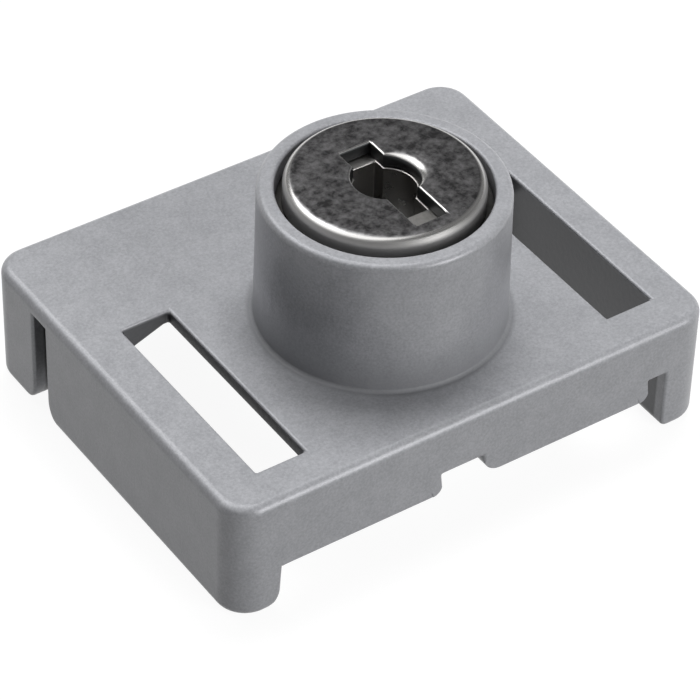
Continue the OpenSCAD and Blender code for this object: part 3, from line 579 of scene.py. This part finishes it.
# Stage: a pale floor that shows white to the camera and in reflections and keeps a light
# shadow, a soft box above the back right corner, and weaker ones behind and low in front.
# Reflections miss the first box. They see white low down, a bright patch over the back left
# and dim walls between.
world = bpy.data.worlds.new("studio")
bpy.context.scene.world = world
world.use_nodes = True
tree = world.node_tree
tree.nodes.clear()
path = put(tree, "ShaderNodeLightPath", {}, {})
room = put(tree, "ShaderNodeBackground", {}, {"Color": linear("#E6E7E9"), "Strength": 0.09})
white = put(tree, "ShaderNodeBackground", {}, {"Color": (1, 1, 1, 1), "Strength": 1.0})
straight = put(tree, "ShaderNodeMath", {"operation": "MAXIMUM"},
               {0: path.outputs["Is Camera Ray"], 1: path.outputs["Is Transmission Ray"]})
sky = put(tree, "ShaderNodeMixShader", {},
          {0: straight.outputs[0], 1: room.outputs[0], 2: white.outputs[0]})
dim, bright, over_back_left = 0.22, 1.5, (-0.27, 0.32, 0.906)
way = put(tree, "ShaderNodeTexCoord", {}, {})
height = put(tree, "ShaderNodeSeparateXYZ", {}, {0: way.outputs["Generated"]})
low = put(tree, "ShaderNodeMapRange", {}, {
    "Value": height.outputs[2], "From Min": 0.02, "From Max": 0.2, "To Min": 1.0, "To Max": dim})
towards = put(tree, "ShaderNodeVectorMath", {"operation": "DOT_PRODUCT"},
              {0: way.outputs["Generated"], 1: over_back_left})
high = put(tree, "ShaderNodeMapRange", {}, {
    "Value": towards.outputs[1], "From Min": 0.74, "From Max": 0.86,
    "To Min": dim, "To Max": bright})
reflected = put(tree, "ShaderNodeMath", {"operation": "MAXIMUM"},
                {0: low.outputs[0], 1: high.outputs[0]})
studio = put(tree, "ShaderNodeBackground", {},
             {"Color": (1, 1, 1, 1), "Strength": reflected.outputs[0]})
seen = put(tree, "ShaderNodeMixShader", {},
           {0: path.outputs["Is Glossy Ray"], 1: sky.outputs[0], 2: studio.outputs[0]})
put(tree, "ShaderNodeOutputWorld", {}, {"Surface": seen.outputs[0]})

floor_reach, floor_z = 3, -0.00003
floor_mesh = bpy.data.meshes.new("floor")
floor_mesh.from_pydata([(sx * floor_reach, sy * floor_reach, floor_z)
                        for sx, sy in ((-1, -1), (1, -1), (1, 1), (-1, 1))], [], [(0, 1, 2, 3)])
floor = bpy.data.objects.new("floor", floor_mesh)
bpy.context.scene.collection.objects.link(floor)
paper = bpy.data.materials.new("floor_paper")
paper.use_nodes = True
tree = paper.node_tree
tree.nodes.clear()
path = put(tree, "ShaderNodeLightPath", {}, {})
seen = put(tree, "ShaderNodeBsdfDiffuse", {}, {"Color": (0.12, 0.12, 0.12, 1)})
glow = put(tree, "ShaderNodeEmission", {}, {"Color": (1, 1, 1, 1), "Strength": 0.93})
shown = put(tree, "ShaderNodeAddShader", {}, {0: seen.outputs[0], 1: glow.outputs[0]})
real = put(tree, "ShaderNodeBsdfDiffuse", {}, {"Color": (0.07, 0.07, 0.07, 1)})
mirrored = put(tree, "ShaderNodeMath", {"operation": "MAXIMUM"},
               {0: path.outputs["Is Glossy Ray"], 1: path.outputs["Is Transmission Ray"]})
straight = put(tree, "ShaderNodeMath", {"operation": "MAXIMUM"},
               {0: path.outputs["Is Camera Ray"], 1: mirrored.outputs[0]})
both = put(tree, "ShaderNodeMixShader", {},
           {0: straight.outputs[0], 1: real.outputs[0], 2: shown.outputs[0]})
put(tree, "ShaderNodeOutputMaterial", {}, {"Surface": both.outputs[0]})
floor_mesh.materials.append(paper)


def soft_light(name, place, size, power, mirrored):
    """A square soft box that faces the lock, and may show in reflections"""
    lock_middle = Vector((0, 0, 0.01))
    lamp = bpy.data.lights.new(name, "AREA")
    lamp.shape = "SQUARE"
    lamp.size = size
    lamp.energy = power
    held = bpy.data.objects.new(name, lamp)
    held.location = place
    held.rotation_euler = (lock_middle - Vector(place)).to_track_quat("-Z", "Y").to_euler()
    held.visible_glossy = mirrored
    bpy.context.scene.collection.objects.link(held)


soft_light("overhead", place=(0.106, 0.106, 0.42), size=0.2, power=1.52, mirrored=False)
soft_light("back", place=(-0.08, 0.238, 0.36), size=0.25, power=0.42, mirrored=True)
soft_light("front", place=(0.141, -0.389, 0.16), size=0.23, power=0.98, mirrored=True)

scene = bpy.context.scene
scene.view_settings.view_transform = "Standard"
